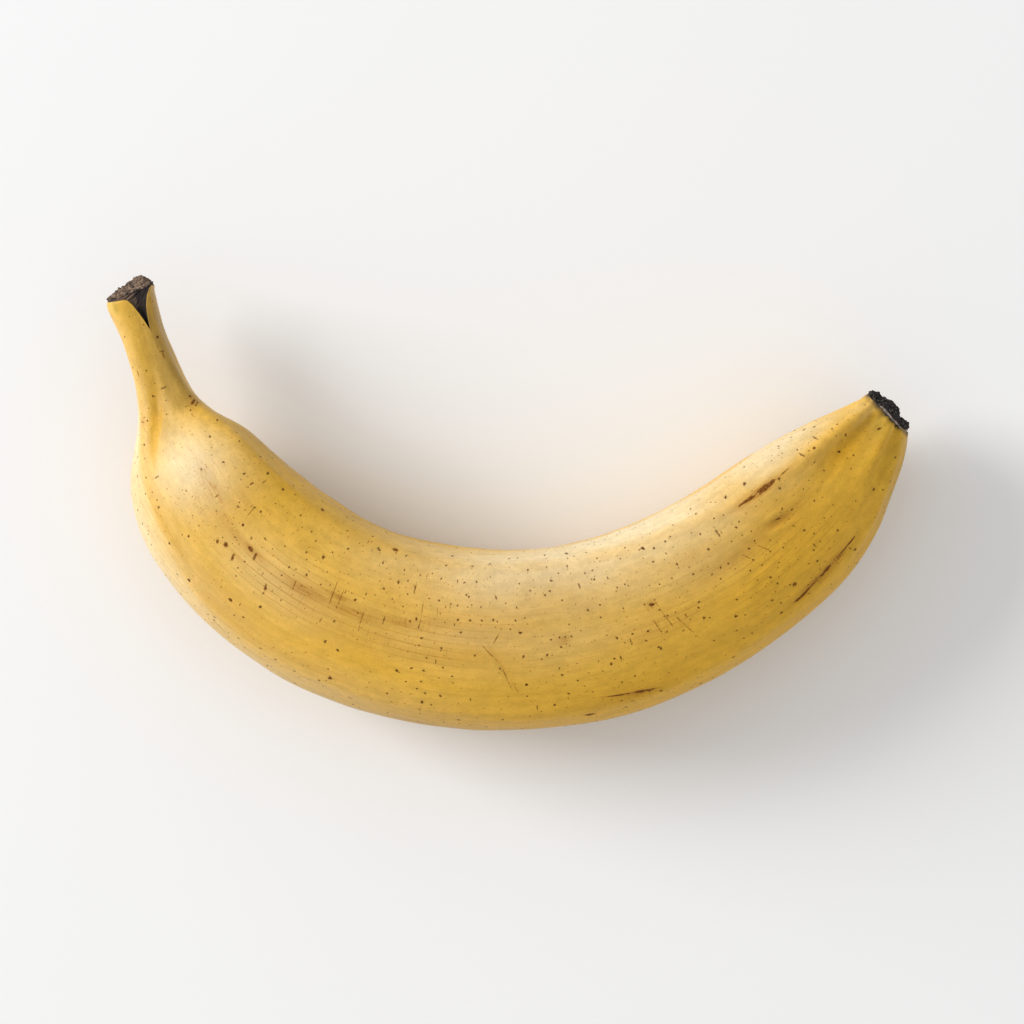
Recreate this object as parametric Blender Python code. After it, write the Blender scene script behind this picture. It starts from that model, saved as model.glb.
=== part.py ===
"""A banana lying on its side, modelled in Blender as one solid.

The fruit curves in the horizontal plane and rests on one of its flat faces. +X runs from the stalk
towards the blossom end, +Y points to the open side of the curve and +Z is up. The skin is a loft:
rounded four-sided outlines are strung along a curved centreline and bridged, then two plane cuts
make the slanted end of the stalk and the face that the fruit rests on.
"""

from math import radians

import bmesh
import bpy
import numpy as np
from mathutils import Vector

MM = 0.001

# Stations along the fruit from stalk to blossom end, in millimetres: the centreline's x, y and z,
# then how far the skin stands from it on the inner, upper, outer and under faces.
STATIONS = (
    (-81.1, 50.0, 19.4, 5.4, 5.2, 5.3, 5.2),
    (-79.2, 43.2, 19.1, 5.4, 4.9, 5.2, 4.9),
    (-76.9, 36.5, 18.7, 4.5, 4.6, 4.2, 4.6),
    (-74.7, 29.7, 18.3, 4.8, 4.7, 4.1, 4.7),
    (-72.8, 22.9, 17.8, 5.9, 5.7, 5.1, 5.7),
    (-71.2, 17.5, 17.5, 8.3, 8.2, 7.2, 8.2),
    (-68.2, 10.1, 17.3, 13.2, 12.8, 12.4, 12.8),
    (-63.6, 2.4, 17.2, 16.2, 15.7, 16.1, 15.7),
    (-54.8, -8.6, 17.2, 18.4, 17.0, 18.4, 17.0),
    (-37.0, -21.2, 17.4, 19.1, 17.5, 19.2, 17.4),
    (-2.0, -29.6, 17.5, 19.0, 17.6, 19.1, 17.5),
    (29.1, -23.9, 17.4, 18.6, 17.4, 18.7, 17.4),
    (53.4, -10.6, 16.9, 17.8, 16.6, 17.6, 16.6),
    (64.3, -0.3, 16.4, 15.9, 15.2, 16.0, 15.2),
    (71.6, 7.8, 16.0, 11.8, 12.0, 12.3, 12.0),
    (76.9, 13.7, 15.8, 8.4, 8.8, 9.0, 8.8),
    (81.1, 19.1, 15.6, 5.6, 5.4, 5.5, 5.4),
)

# The way each face looks out, turned from the inner side up over the top, in the order of the stations.
FACE_TURNS = np.radians((0, 100, 180, 260))
FLATNESS = 2.8  # 2 makes a plain ellipse; more flattens the faces and sharpens the ridges between them

RINGS = 76
SIDES = 32

STALK_CUT_POINT = (-79.8, 44.9, 19.2)
STALK_CUT_NORMAL = (-0.26, 0.90, 0.30)
REST_CUT = 0.3  # how much of the underside the resting face takes off

PEEL_COLOUR = (0.74, 0.49, 0.12, 1.0)
PEEL_ROUGHNESS = 0.48


def clear_scene():
    for old in list(bpy.data.objects):
        bpy.data.objects.remove(old, do_unlink=True)


def smooth_curve(distances, values, at):
    """Natural cubic spline through values at distances, read at the given places along it."""
    steps = np.diff(distances)
    count = len(distances)
    equations = np.eye(count)
    bends = np.zeros(values.shape)
    for i in range(1, count - 1):
        before, after = steps[i - 1], steps[i]
        equations[i, i - 1 : i + 2] = before, 2 * (before + after), after
        rise = (values[i + 1] - values[i]) / after - (values[i] - values[i - 1]) / before
        bends[i] = 6 * rise
    bends = np.linalg.solve(equations, bends)
    left = np.clip(np.searchsorted(distances, at) - 1, 0, count - 2)
    step = steps[left][:, None]
    far = (at - distances[left])[:, None] / step
    near = 1 - far
    straight = near * values[left] + far * values[left + 1]
    bowed = (near**3 - near) * bends[left] + (far**3 - far) * bends[left + 1]
    return straight + bowed * step**2 / 6


def outline_radius(face_distances, turns):
    """Distance of the skin from the centreline: a polygon of flat faces, rounded at its ridges."""
    facing = np.maximum(np.cos(turns[:, None] - FACE_TURNS[None, :]), 0)
    return np.sum((facing / face_distances) ** FLATNESS, axis=1) ** (-1 / FLATNESS)


def skin_rings():
    """One array of points for each ring, in metres, from the stalk to the blossom end."""
    stations = np.array(STATIONS) * MM
    gaps = np.linalg.norm(np.diff(stations[:, :3], axis=0), axis=1)
    distances = np.concatenate(([0.0], np.cumsum(gaps)))
    along = np.linspace(0, distances[-1], RINGS)
    read = smooth_curve(distances, stations, along)
    centres = read[:, :3]
    forward = np.gradient(centres, along, axis=0)
    forward /= np.linalg.norm(forward, axis=1)[:, None]
    inward = np.cross((0, 0, 1), forward)
    inward /= np.linalg.norm(inward, axis=1)[:, None]
    upward = np.cross(forward, inward)
    turns = np.linspace(0, 2 * np.pi, SIDES, endpoint=False)
    rings = []
    for centre, faces, side, up in zip(centres, read[:, 3:], inward, upward):
        reach = outline_radius(faces, turns)[:, None]
        rings.append(centre + reach * (np.cos(turns)[:, None] * side + np.sin(turns)[:, None] * up))
    return rings


def loft(shape, rings):
    """Draws each ring as a closed loop of edges and bridges each loop to the next."""
    loops = []
    for ring in rings:
        corners = [shape.verts.new(point) for point in ring]
        pairs = zip(corners, corners[1:] + corners[:1])
        loops.append([shape.edges.new(pair) for pair in pairs])
    for first, second in zip(loops, loops[1:]):
        bmesh.ops.bridge_loops(shape, edges=first + second)
    bmesh.ops.holes_fill(shape, edges=loops[0] + loops[-1], sides=0)


def cut_flat(shape, point, normal):
    """Takes away what lies beyond the plane and closes the cut with a flat face."""
    everything = shape.verts[:] + shape.edges[:] + shape.faces[:]
    bmesh.ops.bisect_plane(
        shape, geom=everything, plane_co=point, plane_no=normal, clear_outer=True
    )
    rim = [edge for edge in shape.edges if edge.is_boundary]
    bmesh.ops.holes_fill(shape, edges=rim, sides=0)


def stand_on_origin(shape):
    """Moves the shape so that the middle of its underside is at the origin."""
    points = np.array([vertex.co for vertex in shape.verts])
    low, high = points.min(axis=0), points.max(axis=0)
    middle = Vector(((low[0] + high[0]) / 2, (low[1] + high[1]) / 2, low[2]))
    bmesh.ops.translate(shape, verts=shape.verts, vec=-middle)


def peel_material():
    material = bpy.data.materials.new("peel")
    material.use_nodes = True
    shader = material.node_tree.nodes["Principled BSDF"]
    shader.inputs["Base Color"].default_value = PEEL_COLOUR
    shader.inputs["Roughness"].default_value = PEEL_ROUGHNESS
    shader.inputs["Metallic"].default_value = 0.0
    return material


def make_banana():
    shape = bmesh.new()
    loft(shape, skin_rings())
    cut_flat(shape, Vector(STALK_CUT_POINT) * MM, Vector(STALK_CUT_NORMAL))
    lowest = min(vertex.co.z for vertex in shape.verts)
    cut_flat(shape, Vector((0, 0, lowest + REST_CUT * MM)), Vector((0, 0, -1)))
    stand_on_origin(shape)
    bmesh.ops.recalc_face_normals(shape, faces=shape.faces)
    mesh = bpy.data.meshes.new("banana")
    shape.to_mesh(mesh)
    shape.free()
    mesh.shade_smooth()
    mesh.set_sharp_from_angle(angle=radians(40))
    mesh.materials.append(peel_material())
    banana = bpy.data.objects.new("banana", mesh)
    bpy.context.scene.collection.objects.link(banana)


clear_scene()
make_banana()
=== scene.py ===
"""A ripe banana lying on its side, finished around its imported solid, laid out as a Blender add-on.

Three surfaces stand for the one solid node: the peel, the dry fibrous stalk end and the dried
blossom end. Each is a function of two parameters on a grid: how far along the fruit, and how far
round it. Shapes are worked out in millimetres and put into the meshes in metres. A turn is an
angle round the centreline: 0 faces the inside of the curve, a quarter turn faces up, half a turn
faces the outside of the curve and three quarters faces the surface that the fruit lies on.
"""

from math import cos, pi, radians, sin
from types import SimpleNamespace

import bpy
import numpy as np
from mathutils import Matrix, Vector


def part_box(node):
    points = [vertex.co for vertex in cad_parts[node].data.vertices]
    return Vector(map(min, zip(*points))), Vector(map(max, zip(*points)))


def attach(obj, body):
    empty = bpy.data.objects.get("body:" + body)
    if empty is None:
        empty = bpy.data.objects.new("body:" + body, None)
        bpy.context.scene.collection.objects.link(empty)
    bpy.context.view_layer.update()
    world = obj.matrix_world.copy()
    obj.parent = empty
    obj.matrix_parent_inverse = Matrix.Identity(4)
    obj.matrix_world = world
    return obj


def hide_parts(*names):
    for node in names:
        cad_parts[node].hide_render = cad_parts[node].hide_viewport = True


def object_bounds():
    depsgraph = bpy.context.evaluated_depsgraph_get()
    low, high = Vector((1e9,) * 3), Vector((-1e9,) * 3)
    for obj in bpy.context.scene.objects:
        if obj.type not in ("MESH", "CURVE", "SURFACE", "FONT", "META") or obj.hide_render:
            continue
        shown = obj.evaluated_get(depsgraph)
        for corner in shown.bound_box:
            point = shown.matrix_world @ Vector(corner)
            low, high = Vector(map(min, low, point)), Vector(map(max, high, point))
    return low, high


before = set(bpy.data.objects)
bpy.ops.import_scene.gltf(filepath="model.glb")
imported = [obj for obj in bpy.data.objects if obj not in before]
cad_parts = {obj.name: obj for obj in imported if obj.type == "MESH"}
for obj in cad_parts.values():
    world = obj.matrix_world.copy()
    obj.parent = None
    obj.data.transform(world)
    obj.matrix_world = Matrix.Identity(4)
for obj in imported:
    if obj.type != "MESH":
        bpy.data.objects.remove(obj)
CAD_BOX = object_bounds()

bl_info = {
    "name": "Banana",
    "version": (1, 0, 0),
    "blender": (4, 5, 0),
    "location": "3D View > Sidebar > Banana",
    "description": "Makes the peel, the two dry ends and a plain studio for one ripe banana",
    "category": "Add Mesh",
}

MM = 0.001

# The solid's stations from stalk to blossom end, in millimetres: the centreline's x, y and z, then
# how far the skin stands from it on the inner, upper, outer and under faces.
STATIONS = np.array(
    (
        (-81.1, 50.0, 19.4, 5.4, 5.2, 5.3, 5.2),
        (-79.2, 43.2, 19.1, 5.4, 4.9, 5.2, 4.9),
        (-76.9, 36.5, 18.7, 4.5, 4.6, 4.2, 4.6),
        (-74.7, 29.7, 18.3, 4.8, 4.7, 4.1, 4.7),
        (-72.8, 22.9, 17.8, 5.9, 5.7, 5.1, 5.7),
        (-71.2, 17.5, 17.5, 8.3, 8.2, 7.2, 8.2),
        (-68.2, 10.1, 17.3, 13.2, 12.8, 12.4, 12.8),
        (-63.6, 2.4, 17.2, 16.2, 15.7, 16.1, 15.7),
        (-54.8, -8.6, 17.2, 18.4, 17.0, 18.4, 17.0),
        (-37.0, -21.2, 17.4, 19.1, 17.5, 19.2, 17.4),
        (-2.0, -29.6, 17.5, 19.0, 17.6, 19.1, 17.5),
        (29.1, -23.9, 17.4, 18.6, 17.4, 18.7, 17.4),
        (53.4, -10.6, 16.9, 17.8, 16.6, 17.6, 16.6),
        (64.3, -0.3, 16.4, 15.9, 15.2, 16.0, 15.2),
        (71.6, 7.8, 16.0, 11.8, 12.0, 12.3, 12.0),
        (76.9, 13.7, 15.8, 8.4, 8.8, 9.0, 8.8),
        (81.1, 19.1, 15.6, 5.6, 5.4, 5.5, 5.4),
    )
)
FACE_TURNS = np.radians((0, 100, 180, 260))
FLATNESS = 2.8
REST_CUT = 0.3
TIP_RADIUS = 5.5  # of the peel where the blossom end closes it
BLOSSOM_LEAN = (-0.13, 0.22)  # how far back the blossom end leans, per millimetre inward and upward

STATION_GAPS = np.linalg.norm(np.diff(STATIONS[:, :3], axis=0), axis=1)
STATION_DISTANCES = np.concatenate(([0.0], np.cumsum(STATION_GAPS)))
# The middle of the cut stalk, as a distance from the first station. Along is measured from there.
STALK_START = 5.9
FRUIT_LENGTH = STATION_DISTANCES[-1] - STALK_START

# Where the peel ends at the stalk, as (turn in degrees, distance along): a torn notch faces up.
STALK_EDGE = (
    (0, 0.1), (25, 0.0), (38, 0.6), (49, 1.9), (57, 4.0), (61, 5.8), (66, 9.3), (71, 7.2),
    (77, 5.2), (86, 3.0), (94, 1.9), (103, 1.5), (130, 1.2), (160, 0.8), (180, 0.7), (225, -0.4),
    (270, -1.1), (315, -0.6), (340, -0.1),
)
# How far the back of the cut face departs from its plane, as (distance inward, distance along).
CUT_BACK = (
    (-5.4, 1.2), (-4.6, 0.8), (-1.6, 0.3), (0, -0.15), (1.8, -0.6), (2.7, -0.65), (3.7, -0.1),
    (4.5, 0.9), (5.2, 1.5),
)

# Lines raised along the skin or sunk into it. Each row is a distance along, a turn in degrees, a
# height over the skin and a width, in millimetres.
LINES = {
    "inner ridge": (
        (4, 62, 0.0, 1.0), (10, 64, 0.25, 1.2), (15, 56, 0.5, 1.4), (20, 48, 0.6, 1.6),
        (27, 44, 0.6, 1.8), (36, 45, 0.6, 2.0), (60, 46, 0.55, 2.1), (140, 47, 0.45, 2.4),
        (174, 54, 0.5, 2.2), (193, 62, 0.7, 2.0), (206, 61, 0.95, 1.6), (215, 60, 0.4, 1.2),
    ),
    "outer ridge": (
        (2, 152, 0.2, 1.5), (14, 146, 0.5, 1.8), (24, 136, 0.6, 1.8), (32, 130, 0.55, 1.8),
        (40, 128, 0.5, 2.0), (51, 132, 0.45, 2.2), (62, 140, 0.45, 2.3), (80, 143, 0.5, 2.4),
        (150, 143, 0.45, 2.4), (190, 141, 0.5, 2.0), (206, 136, 0.6, 1.5), (215, 132, 0.3, 1.2),
    ),
    "under outer ridge": (
        (2, 214, 0.2, 1.5), (24, 218, 0.5, 1.8), (44, 216, 0.45, 2.2), (150, 216, 0.4, 2.4),
        (190, 218, 0.5, 2.0), (206, 222, 0.7, 1.5), (215, 226, 0.3, 1.2),
    ),
    "under inner ridge": (
        (2, 318, 0.2, 1.5), (24, 316, 0.5, 1.8), (44, 313, 0.45, 2.2), (150, 313, 0.4, 2.4),
        (190, 310, 0.5, 2.0), (206, 306, 0.7, 1.5), (215, 302, 0.3, 1.2),
    ),
    "neck valley": (
        (14, 108, 0.0, 1.0), (21, 100, -0.5, 1.2), (27, 104, -1.1, 1.4), (31, 113, -0.8, 1.5),
        (36, 120, -0.35, 1.5), (42, 124, -0.1, 1.5), (50, 128, 0.0, 1.5),
    ),
    "neck crease": ((14, 92, 0.0, 0.5), (19, 91, -0.1, 0.5), (25, 86, -0.16, 0.6), (29, 84, 0.0, 0.7)),
    "under neck valley": (
        (16, 262, 0.0, 1.1), (22, 262, -0.4, 1.2), (28, 264, -0.8, 1.4), (38, 266, 0.0, 1.6),
    ),
    "tip inner valley": (
        (194, 80, 0.0, 2.0), (203, 76, -0.7, 1.8), (209, 74, -0.95, 1.5), (214, 72, -0.7, 1.1),
        (217, 71, -0.3, 1.0),
    ),
    "tip ridge": ((198, 109, 0.0, 1.7), (206, 106, 0.5, 1.5), (211, 105, 0.7, 1.2), (217, 104, 0.3, 1.0)),
    "tip outer valley": ((198, 124, 0.0, 1.6), (207, 122, -0.5, 1.3), (213, 120, -0.6, 1.0)),
    "tip under ridge": ((196, 264, 0.0, 1.8), (206, 264, 0.5, 1.5), (216, 264, 0.3, 1.1)),
    "tip back valley": ((199, 4, 0.0, 1.6), (207, 2, -0.4, 1.3), (215, 0, -0.4, 1.0)),
}

# Places pressed or scraped into the peel: distance along, distance round from the upper line, half
# length, half width, tilt from lengthwise in degrees, depth.
DENTS = (
    (182.6, -3.1, 3.2, 0.85, 14, 0.42),
    (170.0, -2.9, 11.0, 1.9, 2, 0.2),
    (182.0, 12.4, 8.5, 0.6, -5, 0.16),
    (142.4, 15.2, 4.0, 0.6, 9, 0.14),
    (185.0, -10.0, 7.0, 0.9, 6, 0.12),
    (77.0, -0.2, 5.0, 1.6, 0, 0.16),
    (60.0, -0.8, 8.0, 1.2, 0, 0.12),
    (118.0, 3.8, 6.5, 0.5, 62, 0.1),
    (104.0, 24.0, 6.0, 1.5, 8, 0.2),
    (60.0, 38.0, 4.0, 1.2, -12, 0.2),
    (150.0, -31.0, 7.0, 1.4, 5, 0.2),
)

# Soft oval patches: distance along, half length, turn in degrees, half turn, strength. First the
# cream ones, partly painted highlight where the lamp lights the shoulder and facets; the dull ones of
# the neck, partly painted shade on the stalk's far side; other dull ones, painted shade on facets
# turned from the lamp, in the neck crease and along the under edge; and those of deeper colour,
# partly painted shade in the valleys and along the under edge.
PALE_AND_HIGHLIT = (
    (39, 12, 88, 34, 1.0), (40, 32, 160, 34, 1.25), (14, 16, 150, 26, 0.4), (80, 34, 164, 28, 0.7),
    (158, 36, 28, 34, 1.3), (190, 16, 36, 24, 1.2), (128, 36, 46, 30, 1.1), (213, 5, 52, 24, 0.3),
    (66, 20, 96, 26, 0.35), (118, 30, 84, 24, 0.4), (160, 20, 66, 22, 0.35),
)
# Dull stalk colour, partly painted shade on the stalk's far side and under it.
NECK_DULL_AND_SHADE = ((16, 22, 56, 56, 1.1), (8, 14, 14, 52, 1.3), (14, 16, 262, 60, 0.9))
# Painted shade: facets turned from the lamp, the neck crease, the tip and the under edge.
FACET_SHADE = (
    (44, 18, 14, 28, 0.65), (74, 20, 24, 26, 0.42), (207, 10, 162, 24, 0.6), (112, 34, 176, 15, 0.4),
    (212, 5, 88, 26, 0.3), (29, 4, 92, 16, 0.5),
)
# Deeper amber, partly painted shade in the neck and tip valleys and along the under edge.
DEEP_AND_SHADE = (
    (27, 6, 108, 14, 0.8), (204, 10, 78, 14, 0.85), (208, 10, 122, 14, 0.8), (190, 24, 112, 26, 0.35),
    (140, 24, 142, 16, 0.5), (46, 12, 128, 6, 0.7), (66, 14, 138, 6, 0.5), (112, 50, 162, 28, 0.75),
    (180, 30, 160, 26, 0.6), (20, 10, 92, 30, 0.3), (112, 16, 98, 10, 0.5),
)
# Patches of wear: rubbed, finely ribbed and thick with freckles. Then those still a little green.
RUBBED = (
    (150, 9, 100, 12, 0.35), (142, 7, 140, 8, 0.4), (64, 10, 128, 12, 0.3), (186, 6, 80, 8, 0.3),
    (82, 18, 98, 14, 0.36), (50, 9, 84, 24, 0.34), (112, 12, 88, 16, 0.26),
    (90, 30, 250, 20, 0.5), (150, 24, 200, 14, 0.5), (60, 20, 330, 16, 0.5),
)
RIBBED = (
    (68, 26, 98, 30, 1.0), (104, 26, 96, 22, 0.8), (160, 24, 98, 24, 0.9), (60, 30, 138, 18, 0.7),
    (186, 14, 110, 16, 0.5), (120, 80, 250, 30, 0.6),
)
SPECKLED = (
    (50, 12, 92, 26, 1.0), (58, 20, 52, 22, 0.9), (96, 40, 66, 22, 0.6), (26, 5, 84, 30, 0.8),
    (150, 26, 96, 24, 0.5), (206, 8, 56, 16, 0.7), (90, 60, 300, 40, 0.6), (40, 26, 215, 30, 0.6),
)
GREEN = ((210, 6, 126, 12, 0.35), (213, 3, 90, 20, 0.3), (211, 4, 300, 26, 0.4), (2.4, 1.3, 132, 9, 0.7))

# Rubbed streaks: distance along, distance round from the upper line, half length, half width, tilt
# from lengthwise in degrees, strength.
STREAKS = (
    (46.0, -2.9, 6.5, 2.1, 6, 0.75), (55.0, -1.4, 5.5, 1.1, 8, 0.8), (62.5, -0.9, 3.2, 0.8, 3, 1.0),
    (52.0, -6.6, 4.0, 1.6, 0, 0.4), (61.0, 2.0, 4.0, 0.9, 6, 0.45), (76.5, -0.9, 6.0, 1.5, -4, 0.9),
    (87.0, -1.0, 7.0, 1.5, -2, 0.8), (83.0, -2.6, 4.5, 1.2, 8, 0.7), (97.0, -2.2, 6.0, 1.1, -3, 0.7),
    (104.0, -3.6, 7.0, 0.9, -3, 0.4), (183.2, -9.8, 5.8, 0.75, 6, 1.6), (188.0, -9.2, 4.0, 0.4, 6, 1.2),
    (182.5, 12.3, 7.0, 1.1, -5, 1.4), (142.4, 15.3, 4.5, 0.7, 9, 0.9), (119.0, 4.6, 4.5, 0.9, 62, 0.3),
    (152.0, 1.6, 5.0, 3.0, 0, 0.3), (165.0, -7.2, 8.0, 1.6, 4, 0.35), (131.0, 0.0, 1.6, 1.2, 0, 0.7),
    (150.2, -2.3, 1.2, 0.9, 0, 0.8), (27.0, -5.6, 2.6, 2.0, 60, 0.5), (27.2, 5.2, 1.2, 0.6, 0, 0.6),
    (104.0, 3.0, 14.0, 2.2, -4, 0.25), (80.0, 14.0, 16.0, 1.2, -2, 0.3),
)

# Single scabs, then thin scratches: distance along, distance round from the upper line, half
# length, half width, tilt from lengthwise in degrees.
SCABS = (
    (183.0, 12.2, 2.6, 0.42, -6), (178.2, 12.9, 3.4, 0.22, -7), (188.0, 11.6, 2.8, 0.16, -3),
    (186.0, -9.5, 3.0, 0.34, 6), (180.6, -10.1, 3.0, 0.2, 6), (190.4, -9.0, 2.0, 0.14, 6),
    (144.0, 15.3, 1.7, 0.26, 9), (140.6, 14.8, 2.6, 0.14, 9), (62.1, -1.0, 0.55, 0.42, 0),
    (63.4, -0.9, 0.75, 0.26, 70), (55.9, 2.9, 0.45, 0.26, 60), (57.4, 1.9, 0.5, 0.45, 0),
    (60.3, 2.9, 0.6, 0.24, 70), (65.2, 10.3, 0.32, 0.3, 0), (69.1, -16.7, 0.5, 0.36, 20),
    (90.7, -15.9, 0.5, 0.32, 0), (150.2, -2.3, 0.5, 0.42, 0), (131.4, -0.8, 0.55, 0.42, 0),
    (133.3, 18.5, 0.8, 0.34, 0), (24.9, -6.1, 0.36, 0.3, 0), (26.6, -6.4, 0.7, 0.26, 60),
    (27.2, -7.2, 0.8, 0.3, 50), (27.2, 5.2, 0.3, 0.2, 0), (176.9, 9.4, 0.46, 0.44, 0),
    (198.0, -8.0, 0.34, 0.28, 0), (199.2, -7.6, 0.26, 0.22, 0), (182.9, -3.4, 1.1, 0.24, 20),
    (69.1, 3.2, 0.5, 0.24, 70), (184.0, -0.4, 0.34, 0.3, 0), (212.1, 0.1, 0.5, 0.2, 40),
)
SCRATCHES = (
    (116.0, 1.6, 2.8, 0.11, 46), (119.0, 6.4, 2.4, 0.1, 70), (121.0, 9.6, 1.2, 0.09, 66),
    (117.0, -1.4, 1.6, 0.09, 120), (152.1, 0.9, 2.4, 0.09, 76), (155.0, 4.2, 2.4, 0.09, 68),
    (149.9, 2.2, 1.4, 0.09, 80), (81.6, -2.6, 2.4, 0.09, 84), (83.4, -2.0, 1.6, 0.08, 88),
    (56.0, -6.4, 1.0, 0.12, 80), (100.7, -6.2, 1.6, 0.08, 86), (104.2, -5.3, 1.3, 0.08, 82),
    (14.9, -3.0, 0.6, 0.14, 0), (12.6, -2.4, 0.9, 0.1, 0), (17.4, 3.2, 0.8, 0.1, 0),
    (66.6, 19.0, 2.0, 0.12, 20), (172.6, -1.6, 1.0, 0.1, 60), (176.6, -0.8, 0.9, 0.1, 60),
    (89.0, -0.4, 1.8, 0.08, 84), (73.6, -1.0, 1.2, 0.09, 80),
)


class PeelSettings(bpy.types.PropertyGroup):
    unevenness: bpy.props.FloatProperty(
        name="Unevenness", description="Height of the soft swells that keep the faces from being true",
        default=0.22 * MM, unit="LENGTH", precision=5,
    )
    thickness: bpy.props.FloatProperty(
        name="Peel thickness", description="Thickness of the lip where the peel ends at the stalk",
        default=0.75 * MM, unit="LENGTH", precision=5,
    )
    roughness: bpy.props.FloatProperty(
        name="Roughness", description="Roughness of the clean waxy peel", default=0.42, min=0, max=1,
    )
    gold: bpy.props.FloatVectorProperty(
        name="Gold", description="Main colour of the ripe peel",
        default=(0.745, 0.428, 0.047), subtype="COLOR", min=0, max=1,
    )
    # Cream is partly the peel's pale tone and partly painted highlight where the lamp falls.
    cream_and_highlight: bpy.props.FloatVectorProperty(
        name="Cream", description="Pale areas of the shoulder and of the inside of the curve",
        default=(0.82, 0.66, 0.39), subtype="COLOR", min=0, max=1,
    )
    # Amber is partly the peel's deeper tone and partly painted shade in the folds and along the under edge.
    amber_and_shade: bpy.props.FloatVectorProperty(
        name="Amber", description="Deeper colour along the ridges and in the folds",
        default=(0.66, 0.345, 0.013), subtype="COLOR", min=0, max=1,
    )
    # Dull is partly the stalk's duller tone and partly painted shade on the stalk and on facets turned from
    # the lamp.
    dull_and_shade: bpy.props.FloatVectorProperty(
        name="Dull", description="Duller yellow of the stalk",
        default=(0.43, 0.262, 0.054), subtype="COLOR", min=0, max=1,
    )
    green: bpy.props.FloatVectorProperty(
        name="Last green", description="Faint green left beside the blossom end",
        default=(0.40, 0.29, 0.035), subtype="COLOR", min=0, max=1,
    )
    rub_brown: bpy.props.FloatVectorProperty(
        name="Rub brown", description="Where the peel has been rubbed or pressed",
        default=(0.36, 0.145, 0.012), subtype="COLOR", min=0, max=1,
    )
    freckle_brown: bpy.props.FloatVectorProperty(
        name="Freckle brown", description="Freckles and dashes",
        default=(0.1, 0.03, 0.002), subtype="COLOR", min=0, max=1,
    )
    scab_brown: bpy.props.FloatVectorProperty(
        name="Scab brown", description="Single scabs and scratches",
        default=(0.13, 0.036, 0.002), subtype="COLOR", min=0, max=1,
    )
    # Stain is partly real darkening and partly painted shadow under the blossom end's rim.
    stain_and_shadow: bpy.props.FloatVectorProperty(
        name="Stain", description="Darkened peel at the torn edge and beside the blossom end",
        default=(0.06, 0.045, 0.03), subtype="COLOR", min=0, max=1,
    )


class EndSettings(bpy.types.PropertyGroup):
    blossom_radius: bpy.props.FloatProperty(
        name="Blossom radius", description="Radius of the dried rim at the blossom end",
        default=5.4 * MM, unit="LENGTH", precision=5,
    )
    core_gap: bpy.props.FloatProperty(
        name="Core gap", description="How far the stalk's core lies under the skin of the peel",
        default=0.55 * MM, unit="LENGTH", precision=5,
    )
    torn_height: bpy.props.FloatProperty(
        name="Torn height", description="Height over the stalk's middle where the torn side begins",
        default=3.0 * MM, unit="LENGTH", precision=5,
    )
    dry_brown: bpy.props.FloatVectorProperty(
        name="Dry brown", description="Light fibres of the stalk's core",
        default=(0.26, 0.17, 0.11), subtype="COLOR", min=0, max=1,
    )
    dark_brown: bpy.props.FloatVectorProperty(
        name="Dark brown", description="Gaps between the fibres",
        default=(0.045, 0.028, 0.02), subtype="COLOR", min=0, max=1,
    )
    # Straw is the pale flecks and fibres, and also the painted highlight along the blossom's lip.
    straw_and_highlight: bpy.props.FloatVectorProperty(
        name="Straw", description="Palest flecks and the line along the blossom's lip",
        default=(0.45, 0.36, 0.3), subtype="COLOR", min=0, max=1,
    )
    # Blossom black is the dried blossom's own colour, and also painted shadow in the blossom's pit and in
    # the stalk's notch.
    blossom_black_and_shadow: bpy.props.FloatVectorProperty(
        name="Blossom black", description="Dried blossom end and the bottom of the torn notch",
        default=(0.014, 0.011, 0.011), subtype="COLOR", min=0, max=1,
    )
    ash: bpy.props.FloatVectorProperty(
        name="Ash", description="Grey crumbs on the dried blossom end",
        default=(0.12, 0.1, 0.1), subtype="COLOR", min=0, max=1,
    )


class StageSettings(bpy.types.PropertyGroup):
    lens: bpy.props.FloatProperty(
        name="Lens", description="Focal length of the camera in millimetres", default=100.0, min=10,
    )
    view_width: bpy.props.FloatProperty(
        name="View width", description="Width of what the camera sees at the fruit's middle height",
        default=0.2171, unit="LENGTH", precision=4,
    )
    floor_colour: bpy.props.FloatVectorProperty(
        name="Floor colour", description="Plain pale floor",
        default=(0.88, 0.88, 0.88), subtype="COLOR", min=0, max=1,
    )
    view_shift: bpy.props.FloatVectorProperty(
        name="View shift", description="How far the camera stands from the middle of the solid's box",
        default=(0.00106, -0.00165), size=2, subtype="XYZ", unit="LENGTH", precision=5,
    )
    key_power: bpy.props.FloatProperty(
        name="Key power", description="Power of the large soft lamp", default=50.0, unit="POWER",
    )
    key_place: bpy.props.FloatVectorProperty(
        name="Key place", description="Where the large soft lamp hangs",
        default=(-2.05, 0.75, 1.0), subtype="TRANSLATION", unit="LENGTH",
    )
    key_size: bpy.props.FloatProperty(
        name="Key size", description="Side of the large soft lamp", default=1.1, unit="LENGTH",
    )
    sky_strength: bpy.props.FloatProperty(
        name="Sky strength", description="Brightness of the even white surroundings", default=0.675,
    )


# ---- Shape ----


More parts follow.
